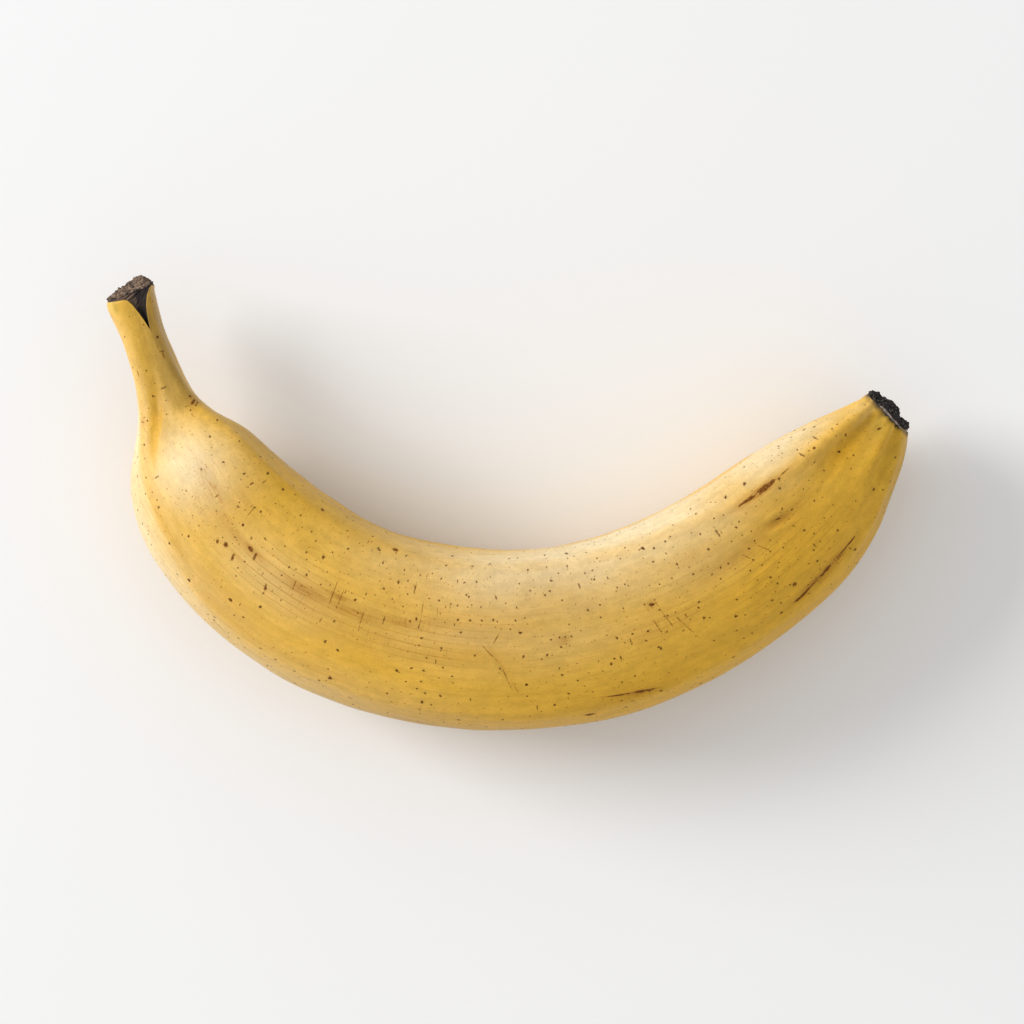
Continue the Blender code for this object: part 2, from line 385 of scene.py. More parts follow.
def spline(knots, values, at):
    """Natural cubic spline: each column of values follows a cubic between two knots, and the cubics
    join with the same slope and bend. It is read at the given distances."""
    steps = np.diff(knots)
    count = len(knots)
    equations = np.eye(count)
    bends = np.zeros(values.shape)
    for i in range(1, count - 1):
        before, after = steps[i - 1], steps[i]
        equations[i, i - 1 : i + 2] = before, 2 * (before + after), after
        bends[i] = 6 * ((values[i + 1] - values[i]) / after - (values[i] - values[i - 1]) / before)
    bends = np.linalg.solve(equations, bends)
    left = np.clip(np.searchsorted(knots, at) - 1, 0, count - 2)
    step = steps[left][..., None]
    far = (at - knots[left])[..., None] / step
    near = 1 - far
    straight = near * values[left] + far * values[left + 1]
    bowed = (near**3 - near) * bends[left] + (far**3 - far) * bends[left + 1]
    return straight + bowed * step**2 / 6


def smooth_curve(at):
    """The seven station values at the given distances from the first station."""
    return spline(STATION_DISTANCES, STATIONS, at)


def unit(vectors):
    return vectors / np.linalg.norm(vectors, axis=-1, keepdims=True)


def axes_along(along):
    """Centre, and the inward, upward and forward directions of the centreline at each distance."""
    step = 0.05
    at = along + STALK_START
    centre = smooth_curve(at)[..., :3]
    forward = unit(smooth_curve(at + step)[..., :3] - smooth_curve(at - step)[..., :3])
    inward = unit(np.cross((0.0, 0.0, 1.0), forward))
    return centre, inward, np.cross(forward, inward), forward


def peel_reach(along, turn):
    """Distance of the skin from the centreline: the sum of (cosine to each face / its distance) to
    the power of the flatness, taken to minus one over the flatness, which is a rounded polygon."""
    faces = smooth_curve(along + STALK_START)[..., 3:]
    facing = np.maximum(np.cos(turn[..., None] - FACE_TURNS), 0)
    return np.sum((facing / faces) ** FLATNESS, axis=-1) ** (-1 / FLATNESS)


def place(along, turn, reach):
    """Point at a reach from the centreline: centre + reach (cos turn inward + sin turn upward)."""
    centre, inward, upward, _ = axes_along(along)
    return centre + reach[..., None] * (
        np.cos(turn)[..., None] * inward + np.sin(turn)[..., None] * upward
    )


def unbend(along, turn, reach):
    """The same point with the fruit's curve taken out, so that a pattern follows the skin."""
    return np.stack((along, reach * np.cos(turn), reach * np.sin(turn)), axis=-1)


def ease(low, high, value):
    """Smooth step: 0 below low, 1 above high, 3t^2 - 2t^3 between."""
    t = np.clip((value - low) / (high - low), 0, 1)
    return t * t * (3 - 2 * t)


def hump(distance, width):
    """Bell curve: 1 at no distance, falling off over the width."""
    return np.exp(-((distance / width) ** 2))


def waves(points, size, seed, count=32):
    """Soft noise: a sum of plane cosine waves in fixed random directions, each about size long."""
    draw = np.random.default_rng(seed)
    directions = unit(draw.normal(size=(count, 3)))
    lengths = draw.uniform(0.7, 1.5, size=(count, 1)) * 2 * pi / size
    phases = draw.uniform(0, 2 * pi, size=count)
    return np.cos(points @ (directions * lengths).T + phases).sum(axis=-1) / np.sqrt(count / 2)


def turn_gap(turn, middle):
    """Signed angle from the middle to the turn, the short way round, in radians."""
    return (turn - middle + pi) % (2 * pi) - pi


def grid_normals(points):
    """Outward directions of a grid that closes on itself around its second axis."""
    around = np.roll(points, -1, axis=1) - np.roll(points, 1, axis=1)
    along = np.gradient(points, axis=0)
    return unit(np.cross(around, along))


def fruit_shift():
    """How far the solid was moved from its stations to stand on its origin, from its box."""
    low, high = (np.array(corner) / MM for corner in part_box("banana"))
    along, turn = np.meshgrid(
        np.linspace(-4, FRUIT_LENGTH, 400), np.linspace(0, 2 * pi, 180, endpoint=False), indexing="ij"
    )
    points = place(along, turn, peel_reach(along, turn)).reshape(-1, 3)
    return np.array(
        (
            high[0] - points[:, 0].max(),
            low[1] - points[:, 1].min(),
            low[2] - REST_CUT - points[:, 2].min(),
        )
    )


SHIFT = fruit_shift()


def rest_on_surface(points):
    """Flattens what would sink into the surface: z becomes (z + sqrt(z^2 + e^2)) / 2."""
    softness = 0.15
    rested = points.copy()
    z = rested[..., 2]
    rested[..., 2] = (z + np.sqrt(z * z + softness * softness)) / 2
    return rested


def line_height(name, along, turn, reach):
    """Height of one line: its own height there times a bell curve of the distance round to it."""
    rows = np.array(LINES[name], float)
    at = np.clip(along, rows[0, 0], rows[-1, 0])
    middle, height, width = np.moveaxis(spline(rows[:, 0], rows[:, 1:], at), -1, 0)
    return height * hump(turn_gap(turn, np.radians(middle)) * reach, width)


def lines_height(along, turn, reach):
    """Sum of all the lines."""
    return sum(line_height(name, along, turn, reach) for name in LINES)


def tilted(along, around, tilt):
    """Distances ahead of and across a line tilted from lengthwise: the two turned by the tilt."""
    lean = radians(tilt)
    return along * cos(lean) + around * sin(lean), around * cos(lean) - along * sin(lean)


def dent_depth(along, around):
    """Sum of the dents. Each is a long bell curve sunk in, with a low rim pushed up on both sides."""
    depth = np.zeros(np.shape(along))
    for middle, side, length, width, tilt, deep in DENTS:
        ahead, across = tilted(along - middle, around - side, tilt)
        rims = 0.4 * hump(np.abs(across) - 1.8 * width, 0.7 * width)
        depth += deep * hump(ahead, length) * (hump(across, width) - rims)
    return depth


def streak_strength(along, around):
    """Largest of the rubbed streaks: a strength times a bell curve along and one across."""
    found = np.zeros(np.shape(along))
    for middle, side, length, width, tilt, strength in STREAKS:
        ahead, across = tilted(along - middle, around - side, tilt)
        found = np.maximum(found, strength * hump(ahead, length) * hump(across, width))
    return found


def blossom_lean(turn, reach):
    """How far a point of the blossom end lies back from a square cut."""
    return reach * (BLOSSOM_LEAN[0] * np.cos(turn) + BLOSSOM_LEAN[1] * np.sin(turn))


def peel_relief(along, turn, reach, around, settings):
    """Height of the skin over its plain outline: lines, soft swells, fine lengthwise ribs, dents
    and the puckers round the blossom end."""
    straight = unbend(along, turn, reach)
    relief = lines_height(along, turn, reach)
    relief = relief * (1 + 0.25 * waves(straight * (1, 0.3, 0.3), 30, 70, 8))
    relief += settings.unevenness / MM * waves(straight * (0.6, 1, 1), 24, 11)
    relief += 0.05 * waves(straight * (0.5, 1, 1), 7, 12)
    relief += 0.02 * waves(straight * (0.2, 1, 1), 2.4, 13, 48)
    relief -= dent_depth(along, around)
    tip = ease(FRUIT_LENGTH - 5, FRUIT_LENGTH - 0.5, along)
    relief *= 1 - 0.6 * ease(FRUIT_LENGTH - 4, FRUIT_LENGTH - 1, along)
    relief += 0.13 * tip * waves(straight * (0.1, 1, 1), 1.9, 14)
    return relief


# ---- Meshes ----


def closed_grid(name, points, first_pole, last_pole, along, around):
    """Mesh of a grid of points that closes around its second axis, with a point at each end.
    along and around become the peel map, in metres, with its seam on the under side."""
    rows, columns = points.shape[:2]
    flat = np.concatenate((points.reshape(-1, 3), first_pole[None], last_pole[None])) * MM
    row, column = np.meshgrid(np.arange(rows - 1), np.arange(columns), indexing="ij")
    following = (column + 1) % columns
    quads = np.stack(
        (
            row * columns + column,
            row * columns + following,
            (row + 1) * columns + following,
            (row + 1) * columns + column,
        ),
        axis=-1,
    ).reshape(-1, 4)
    ring = np.arange(columns)
    ring_next = (ring + 1) % columns
    start = np.stack((np.full(columns, rows * columns), ring_next, ring), axis=-1)
    base = (rows - 1) * columns
    finish = np.stack((np.full(columns, rows * columns + 1), base + ring, base + ring_next), axis=-1)
    mesh = bpy.data.meshes.new(name)
    mesh.from_pydata(flat.tolist(), [], quads.tolist() + start.tolist() + finish.tolist())
    mesh.shade_smooth()

    wide_along = np.concatenate((along, along[:, :1]), axis=1)
    corner_row = np.stack((row, row, row + 1, row + 1), axis=-1).reshape(-1)
    corner_column = np.stack((column, column + 1, column + 1, column), axis=-1).reshape(-1)
    quad_map = np.stack(
        (wide_along[corner_row, corner_column], around[corner_row, corner_column]), axis=-1
    )
    pole_map = []
    for which, order in ((0, (None, 1, 0)), (rows - 1, (None, 0, 1))):
        for step in order:
            corner = ring if step is None else ring + step
            pole_map.append(np.stack((wide_along[which, corner], around[which, corner]), axis=-1))
    start_map = np.stack(pole_map[:3], axis=1).reshape(-1, 2)
    finish_map = np.stack(pole_map[3:], axis=1).reshape(-1, 2)
    peel_map = mesh.uv_layers.new(name="peel_map")
    corners = np.concatenate((quad_map, start_map, finish_map)) * MM
    peel_map.data.foreach_set("uv", corners.astype(np.float32).ravel())
    return mesh


def store(mesh, name, kind, values):
    """Keeps one value or vector for each point of the mesh."""
    attribute = mesh.attributes.new(name, kind, "POINT")
    field = "vector" if kind == "FLOAT_VECTOR" else "value"
    attribute.data.foreach_set(field, np.asarray(values, np.float32).ravel())


def add_piece(mesh, material):
    """Puts the mesh into the scene as a piece that rides on the fruit's one body."""
    piece = bpy.data.objects.new(mesh.name, mesh)
    bpy.context.scene.collection.objects.link(piece)
    mesh.materials.append(material)
    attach(piece, "root")
    return piece


def spaced(stretches):
    """Distances along, from (start, end, spacing) stretches that follow one another."""
    parts = [np.arange(start, end, spacing) for start, end, spacing in stretches]
    return np.concatenate(parts + [[stretches[-1][1]]])


def crowded_turns(count, crowd_at, crowding):
    """Turns round the fruit, closer together near one of them: w - c sin(w - crowd_at)."""
    even = np.linspace(0, 2 * pi, count, endpoint=False) + radians(-90)
    return even - crowding * np.sin(even - crowd_at)


def stalk_edge(turn):
    turns, edges = np.array(STALK_EDGE).T
    return np.interp(np.degrees(turn) % 360, turns, edges, period=360)


def arc_around(turn, reach):
    """Distance round the skin from its upper line, positive towards the outside of the curve. It has
    one column more than the grid, for the far side of the seam."""
    wide_turn = np.concatenate((turn, turn[:, :1] + 2 * pi), axis=1)
    wide_reach = np.concatenate((reach, reach[:, :1]), axis=1)
    steps = np.diff(wide_turn, axis=1) * (wide_reach[:, 1:] + wide_reach[:, :-1]) / 2
    arc = np.concatenate((np.zeros((len(turn), 1)), np.cumsum(steps, axis=1)), axis=1)
    top = np.argmin(np.abs(wide_turn[0] - pi / 2))
    return arc - arc[:, top : top + 1]


def on_centreline(along):
    return place(np.array([along]), np.zeros(1), np.zeros(1))[0] + SHIFT


def with_poles(values, first, last):
    """The grid's values in a flat list, then one for each pole."""
    return np.concatenate((values.reshape(-1, *np.shape(first)), [first], [last]))


def patches(table, along, turn):
    """Largest of some soft oval patches, each a strength times a bell curve along and one round."""
    found = np.zeros(np.shape(turn))
    for middle, half_length, facing, half_turn, strength in table:
        near = hump(along - middle, half_length) * hump(turn_gap(turn, radians(facing)), radians(half_turn))
        found = np.maximum(found, strength * near)
    return found


def make_peel(settings):
    """The peel: rows of points from inside the stalk, over the torn lip, down the whole skin and
    round under the blossom end. Each point is the plain outline pushed out by its relief."""
    turns = crowded_turns(172, radians(70), 0.28)
    outside = spaced(
        ((0.5, 9.5, 0.3), (9.5, 24, 0.42), (24, 48, 0.34), (48, 196, 0.44), (196, 212, 0.36),
         (212, FRUIT_LENGTH, 0.24))
    )
    thick = settings.thickness / MM
    # The rows before the skin: (distance past the edge, depth under the skin as a share of the lip).
    lip = ((2.2, 1.0), (0.9, 1.0), (0.25, 0.93), (0.02, 0.7), (-0.06, 0.45), (0.0, 0.2), (0.2, 0.04))
    lip_past, lip_depth = np.array(lip).T
    row_at = np.concatenate((lip_past, outside))
    depth = np.concatenate((lip_depth * thick, np.zeros(len(outside))))[:, None]
    at, turn = np.meshgrid(row_at, turns, indexing="ij")
    along = at + stalk_edge(turn) * (1 - ease(0, 26, at))
    along = along - blossom_lean(turn, TIP_RADIUS) * ease(FRUIT_LENGTH - 24, FRUIT_LENGTH, at)
    reach = peel_reach(along, turn)
    arc = arc_around(turn, reach)
    around = arc[:, :-1]
    plain = place(along, turn, reach)
    relief = peel_relief(along, turn, reach, around, settings) * ease(-0.2, 1.5, at) - depth
    outward = grid_normals(plain)
    outward[: len(lip)] = unit(plain - place(along, turn, 0 * reach))[: len(lip)]
    points = rest_on_surface(plain + relief[..., None] * outward + SHIFT)
    stalk_pole, tip_pole = 13.0, FRUIT_LENGTH - 1.8
    mesh = closed_grid("peel", points, on_centreline(stalk_pole), on_centreline(tip_pole), along, arc)
    straight = with_poles(unbend(along, turn, reach), (stalk_pole, 0, 0), (tip_pole, 0, 0))
    store(mesh, "straight", "FLOAT_VECTOR", straight * MM)
    heights = lines_height(along, turn, reach)
    neck = patches(NECK_DULL_AND_SHADE, along, turn) * (1 - ease(25.5, 29.0, along))
    masks = {
        "raised": np.clip(heights / 0.6, 0, 1),
        # sunk darkens the valleys with amber: painted shade in the folds.
        "sunk": np.clip(-heights / 0.6, 0, 1),
        # pale: cream patches, partly painted highlight on the shoulder and the lit facets.
        "pale": patches(PALE_AND_HIGHLIT, along, turn),
        # deep: amber tone, partly painted shade in the valleys and along the under edge.
        "deep": patches(DEEP_AND_SHADE, along, turn),
        # dull: the stalk's duller tone with painted shade, and painted shade on facets and the under edge.
        "dull_and_shade": np.maximum(neck, patches(FACET_SHADE, along, turn)),
        "rubbed": np.maximum(patches(RUBBED, along, turn), streak_strength(along, around)),
        # stained: dark band beside the blossom end, partly stain and partly painted shadow under its rim.
        "stained_and_shadowed": ease(FRUIT_LENGTH - 1.5, FRUIT_LENGTH - 0.2, at),
        "ribbed": patches(RIBBED, along, turn),
        "speckled": patches(SPECKLED, along, turn),
        "green": patches(GREEN, along, turn),
        "bruised": np.clip(dent_depth(along, around) / 0.3, 0, 1),
        "lip": np.broadcast_to(np.clip(depth / thick, 0, 1), along.shape),
    }
    for name, mask in masks.items():
        store(mesh, name, "FLOAT", with_poles(mask, 0.0, 0.0))
    piece = add_piece(mesh, peel_material(settings))
    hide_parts("banana")


def fan_at(along, inward):
    """Where a point of the torn side is in a fan of fibres that spreads from the inner top corner:
    its distance from that corner, and its angle times 5 mm."""
    ahead = along + 1.0
    aside = 5.6 - inward
    return np.stack((np.hypot(ahead, aside), 5 * np.arctan2(ahead, aside), 0 * along), axis=-1)


def make_stalk_end(settings):
    """The dry core of the stalk: rows from the middle of the cut face to its rim, then down the torn
    side and on under the peel. The cut face is the plane along = a + b up - c inward, bent at its
    back. Its rim is the stalk's outline, cut straight where the torn side begins. The side runs
    from the rim out to just under the peel, at an even slope."""
    turns = np.linspace(0, 2 * pi, 240, endpoint=False)
    cut_middle, side_end = -0.55, 11.5
    under_peel = settings.core_gap / MM
    torn_height = settings.torn_height / MM
    outline = peel_reach(np.zeros(len(turns)), turns) - 0.35
    straight_cut = torn_height / np.maximum(np.sin(turns), 0.2)
    sharpness = 14
    rim = (outline**-sharpness + straight_cut**-sharpness) ** (-1 / sharpness)

    shares, turn = np.meshgrid(np.linspace(0.02, 1, 44), turns, indexing="ij")
    face_reach = rim * shares
    up, inward = face_reach * np.sin(turn), face_reach * np.cos(turn)
    back = ease(torn_height, -4.5, up) * np.interp(inward, *np.array(CUT_BACK).T)
    face_along = cut_middle + 0.36 * up - 0.085 * inward + back
    rim_along = face_along[-1]
    down, side_turn = np.meshgrid(np.linspace(0, 1, 84)[1:] ** 1.35, turns, indexing="ij")
    side_along = rim_along + (side_end - rim_along) * down
    edge = stalk_edge(side_turn)
    slope = np.clip((side_along - rim_along) / (edge + 0.5 - rim_along), 0, 1)
    side_reach = rim + (peel_reach(side_along, side_turn) - under_peel - rim) * slope

    along = np.concatenate((face_along, side_along))
    turn = np.concatenate((turn, side_turn))
    reach = np.concatenate((face_reach, side_reach))
    straight = unbend(along, turn, reach)
    cut = np.concatenate((np.ones_like(face_along), np.zeros_like(side_along)))
    plain = place(along, turn, reach)
    fan = fan_at(along, straight[..., 1])
    fibres = 0.1 * waves(fan * (0.14, 1, 1), 0.6, 31, 48)
    fibres += 0.1 * waves(straight * (0.3, 1, 1), 2.4, 32)
    grains = 0.13 * waves(straight, 1.0, 33, 48) + 0.12 * waves(straight, 2.6, 34)
    ring = 0.16 * hump(reach - 0.9 * rim, 0.5)
    shown = 1 - ease(0, 1.2, side_along - edge)
    shown = np.concatenate((np.ones_like(face_along), shown))
    relief = (cut * (grains + ring) + (1 - cut) * fibres) * shown
    points = plain + relief[..., None] * grid_normals(plain) + SHIFT
    mesh = closed_grid(
        "stalk_end", points, points[0].mean(axis=0), on_centreline(side_end), along,
        arc_around(turn, reach),
    )
    ends = ((cut_middle, 0, 0), (side_end, 0, 0))
    store(mesh, "straight", "FLOAT_VECTOR", with_poles(straight, *ends) * MM)
    store(mesh, "fan", "FLOAT_VECTOR", with_poles(fan, (0, 0, 0), (12, 0, 0)) * MM)
    # Painted shadow: the torn side's inner part and its deeper part are made black.
    dark_side = 1 - ease(radians(58), radians(88), turn)
    apex = ease(1.5, 5.0, along)
    past_rim = np.concatenate((face_reach - rim, side_along - rim_along))
    rim_line = hump(past_rim, 0.24 + 0.7 * ease(2.0, 4.8, straight[..., 1]))
    store(mesh, "cut", "FLOAT", with_poles(cut, 1.0, 0.0))
    store(mesh, "dark_and_shadowed", "FLOAT", with_poles((1 - cut) * np.maximum(dark_side, apex), 0.0, 1.0))
    store(mesh, "rim", "FLOAT", with_poles(rim_line, 0.0, 0.0))
    add_piece(mesh, stalk_material(settings))


def make_blossom_end(settings):
    """The dried blossom end: a profile of (distance from the middle, rise) turned round the tip, with
    its width, its rise and its surface made uneven by waves that go round with it."""
    wide = settings.blossom_radius / MM
    profile = np.array(
        (
            (0.30, -2.4), (0.66, -2.2), (0.86, -1.5), (0.93, -0.6), (0.97, -0.15), (1.01, -0.02),
            (1.04, 0.2), (1.04, 0.5), (1.02, 0.85), (0.98, 1.15), (0.90, 1.3), (0.80, 1.1),
            (0.70, 0.6), (0.62, 0.25), (0.57, 0.4), (0.53, 0.9), (0.46, 1.6), (0.36, 2.0),
            (0.23, 2.2), (0.02, 2.25),
        )
    )
    lengths = np.linalg.norm(np.diff(profile * (wide, 1), axis=0), axis=1)
    marks = np.concatenate(([0.0], np.cumsum(lengths)))
    walk = np.linspace(0, marks[-1], 110)
    turns = np.linspace(0, 2 * pi, 200, endpoint=False)
    row, turn = np.meshgrid(walk, turns, indexing="ij")
    share, rise = np.moveaxis(spline(marks, profile, row), -1, 0)
    circle = np.stack((0 * turn, np.cos(turn), np.sin(turn)), axis=-1)
    share = share * (1 + 0.035 * waves(circle, 2.2, 41, 12))
    knob = 1 - ease(0.55, 0.68, share)
    flange = ease(0.62, 0.8, share) * ease(-0.4, 0.6, rise)
    rise = rise - 0.1 + flange * 0.3 * waves(circle, 1.3, 42, 12)
    reach = share * wide * (1 + 0.16 * np.maximum(np.sin(turn), 0) ** 2)
    flat = np.stack((rise, reach * np.cos(turn), reach * np.sin(turn)), axis=-1)
    rise = rise + knob * 0.35 * waves(flat * (0, 1, 1), 3.4, 43)
    rise = rise - blossom_lean(turn, reach)
    centre, inward, upward, forward = (
        axis[0] for axis in axes_along(np.array([FRUIT_LENGTH]))
    )
    plain = (
        centre + SHIFT + forward * rise[..., None]
        + inward * (reach * np.cos(turn))[..., None]
        + upward * (reach * np.sin(turn))[..., None]
    )
    rough = 0.09 * waves(flat, 1.1, 44, 48) + 0.06 * waves(flat * (1, 0.6, 0.6), 0.6, 45, 48)
    shown = ease(marks[3], marks[5], row)
    points = plain + (rough * shown)[..., None] * grid_normals(plain)
    along = FRUIT_LENGTH + rise
    mesh = closed_grid(
        "blossom_end", points, points[0].mean(axis=0), points[-1].mean(axis=0), along,
        arc_around(turn, reach),
    )
    straight = unbend(along, turn, reach)
    ends = ((FRUIT_LENGTH - 2.4, 0, 0), (FRUIT_LENGTH + 2.7, 0, 0))
    store(mesh, "straight", "FLOAT_VECTOR", with_poles(straight, *ends) * MM)
    # Painted highlight: a thin pale line along the rim's lower lip.
    lip = hump(row - (marks[6] + marks[7]) / 2, 0.16) * (0.85 + 0.15 * waves(circle, 1.0, 46, 12))
    store(mesh, "lip", "FLOAT", with_poles(np.clip(lip, 0, 1), 0.0, 0.0))
    # Painted shadow in the hollow between the rim and the knob.
    store(mesh, "pit_shadow", "FLOAT", with_poles(hump(share - 0.65, 0.09), 0.0, 0.0))
    add_piece(mesh, blossom_material(settings))


# ---- Materials ----


def put(tree, kind, inputs=None, **settings):
    """Adds a node, sets it up and joins or fills its inputs."""
    node = tree.nodes.new(kind)
    for name, value in settings.items():
        setattr(node, name, value)
    for name, value in (inputs or {}).items():
        if isinstance(value, bpy.types.NodeSocket):
            tree.links.new(value, node.inputs[name])
        else:
            node.inputs[name].default_value = value
    return node


def maths(tree, operation, first, second=0.0, clamp=False):
    return put(
        tree, "ShaderNodeMath", {0: first, 1: second}, operation=operation, use_clamp=clamp
    ).outputs[0]


def spread(tree, value, low, high, to_low=0.0, to_high=1.0):
    """Smoothly maps a value from one range onto another."""
    return put(
        tree, "ShaderNodeMapRange",
        {"Value": value, "From Min": low, "From Max": high, "To Min": to_low, "To Max": to_high},
        interpolation_type="SMOOTHSTEP",
    ).outputs["Result"]


def blend(tree, amount, first, second, mode="MIX"):
    """Mixes two colours."""
    mix = put(tree, "ShaderNodeMix", data_type="RGBA", blend_type=mode)
    for socket, value in ((mix.inputs[0], amount), (mix.inputs[6], first), (mix.inputs[7], second)):
        if isinstance(value, bpy.types.NodeSocket):
            tree.links.new(value, socket)
        elif socket.type == "RGBA":
            socket.default_value = (*value[:3], 1.0)
        else:
            socket.default_value = value
    return mix.outputs[2]


def noise(tree, vector, scale, detail=2.0, roughness=0.5, distortion=0.0):
    return put(
        tree, "ShaderNodeTexNoise",
        {"Vector": vector, "Scale": scale, "Detail": detail, "Roughness": roughness,
         "Distortion": distortion},
    ).outputs["Fac"]


def stretched(tree, vector, scale):
    """Scales the pattern's space: a small value along x draws it out along the fruit."""
    return put(
        tree, "ShaderNodeVectorMath", {0: vector, 1: scale}, operation="MULTIPLY"
    ).outputs[0]


def new_group(name, inputs, outputs):
    """Empty node group with the given sockets, as (name, kind, default), and its two end nodes."""
    group = bpy.data.node_groups.new(name, "ShaderNodeTree")
    for label, kind, default in inputs:
        socket = group.interface.new_socket(label, in_out="INPUT", socket_type=kind)
        if default is not None:
            socket.default_value = default
    for label, kind in outputs:
        group.interface.new_socket(label, in_out="OUTPUT", socket_type=kind)
    return group, group.nodes.new("NodeGroupInput").outputs, group.nodes.new("NodeGroupOutput").inputs


def place_group(tree, group, inputs):
    """Puts a node group into a tree and returns its output."""
    return put(tree, "ShaderNodeGroup", inputs, node_tree=group).outputs[0]


def freckle_group():
    """Scattered spots: in each cell of a flat Voronoi pattern one spot of a random size, or none.
    Cells longer one way than the other give dashes."""
    group, given, out = new_group(
        "Freckles",
        (("Map", "NodeSocketVector", None), ("Along", "NodeSocketFloat", 0.003),
         ("Across", "NodeSocketFloat", 0.003), ("Size", "NodeSocketFloat", 0.1),
         ("Share", "NodeSocketFloat", 0.5), ("Softness", "NodeSocketFloat", 0.45)),
        (("Mask", "NodeSocketFloat"),),
    )
    cell = put(group, "ShaderNodeCombineXYZ", {"X": given["Along"], "Y": given["Across"], "Z": 1.0})
    cells_at = put(
        group, "ShaderNodeVectorMath", {0: given["Map"], 1: cell.outputs[0]}, operation="DIVIDE"
    ).outputs[0]
    wobble = put(
        group, "ShaderNodeTexNoise", {"Vector": given["Map"], "Scale": 1900.0, "Detail": 2.0},
        noise_dimensions="2D",
    ).outputs["Fac"]
    cells = put(
        group, "ShaderNodeTexVoronoi", {"Vector": cells_at, "Scale": 1.0},
        feature="F1", voronoi_dimensions="2D",
    )
    distance = maths(
        group, "MULTIPLY", cells.outputs["Distance"], spread(group, wobble, 0.25, 0.75, 0.6, 1.5)
    )
    chance = put(group, "ShaderNodeSeparateColor", {"Color": cells.outputs["Color"]})
    present = maths(group, "LESS_THAN", chance.outputs["Red"], given["Share"])
    size = maths(group, "MULTIPLY", chance.outputs["Green"], chance.outputs["Green"])
    size = maths(group, "ADD", maths(group, "MULTIPLY", size, 0.75), 0.4)
    radius = maths(group, "MULTIPLY", size, given["Size"])
    soft = maths(group, "MULTIPLY", radius, given["Softness"])
    inside = put(
        group, "ShaderNodeMapRange",
        {"Value": distance, "From Min": maths(group, "ADD", radius, soft),
         "From Max": maths(group, "SUBTRACT", radius, soft)},
        interpolation_type="SMOOTHSTEP",
    ).outputs["Result"]
    group.links.new(maths(group, "MULTIPLY", inside, present), out["Mask"])
    return group


def mark_group():
    """Passes on the nearest mark so far: the distance from one oval mark on the peel map, counted in
    its own half sizes, or the distance given if that is less."""
    group, given, out = new_group(
        "Mark",
        (("Nearest", "NodeSocketFloat", 10.0), ("Map", "NodeSocketVector", None),
         ("Place", "NodeSocketVector", None), ("Lean", "NodeSocketVector", None),
         ("Half size", "NodeSocketVector", None)),
        (("Nearest", "NodeSocketFloat"),),
    )
    local = put(
        group, "ShaderNodeMapping",
        {"Vector": given["Map"], "Location": given["Place"], "Rotation": given["Lean"],
         "Scale": given["Half size"]},
        vector_type="TEXTURE",
    ).outputs[0]
    distance = put(group, "ShaderNodeVectorMath", {0: local}, operation="LENGTH").outputs["Value"]
    group.links.new(maths(group, "MINIMUM", given["Nearest"], distance), out["Nearest"])
    return group


def fibre_group():
    """Drawn-out noise: long streaks with the given size across them and along them."""
    group, given, out = new_group(
        "Fibres",
        (("Vector", "NodeSocketVector", None), ("Across", "NodeSocketFloat", 0.0005),
         ("Along", "NodeSocketFloat", 0.01)),
        (("Streaks", "NodeSocketFloat"),),
    )
    cell = put(
        group, "ShaderNodeCombineXYZ", {"X": given["Along"], "Y": given["Across"], "Z": given["Across"]}
    )
    at = put(
        group, "ShaderNodeVectorMath", {0: given["Vector"], 1: cell.outputs[0]}, operation="DIVIDE"
    ).outputs[0]
    streaks = noise(group, at, 1.0, 3.0, 0.6)
    group.links.new(streaks, out["Streaks"])
    return group


def shared_group(name, build):
    """The named node group, built the first time that it is asked for."""
    return bpy.data.node_groups.get(name) or build()


def attribute(tree, name, output="Fac"):
    return put(tree, "ShaderNodeAttribute", attribute_name=name).outputs[output]


def largest(tree, masks):
    """The largest of several masks."""
    found = masks[0]
    for mask in masks[1:]:
        found = maths(tree, "MAXIMUM", found, mask)
    return found


def scaled(tree, *factors):
    """Product of masks and numbers."""
    found = factors[0]
    for factor in factors[1:]:
        found = maths(tree, "MULTIPLY", found, factor)
    return found


def new_material(name):
    material = bpy.data.materials.new(name)
    material.use_nodes = True
    return material, material.node_tree, material.node_tree.nodes["Principled BSDF"]


def finish_surface(tree, shader, colour, roughness, height, depth):
    """Joins colour, roughness and a bump of the given depth to the shader."""
    bump = put(tree, "ShaderNodeBump", {"Height": height, "Distance": depth, "Strength": 1.0})
    tree.links.new(colour, shader.inputs["Base Color"])
    tree.links.new(roughness, shader.inputs["Roughness"])
    tree.links.new(bump.outputs[0], shader.inputs["Normal"])


def marks_mask(tree, map_at, ragged, table):
    """All the marks of a table as one mask, and their soft halos as another. Each mark passes the
    nearest distance on to the next one."""
    mark = shared_group("Mark", mark_group)
    nearest = 10.0
    for along, around, length, width, tilt in table:
        nearest = place_group(
            tree, mark,
            {"Nearest": nearest, "Map": map_at, "Place": (along * MM, around * MM, 0),
             "Lean": (0, 0, radians(tilt)), "Half size": (length * MM, width * MM, 1)},
        )
    nearest = maths(tree, "ADD", nearest, ragged)
    return spread(tree, nearest, 1.15, 0.75), spread(tree, nearest, 1.9, 0.8)


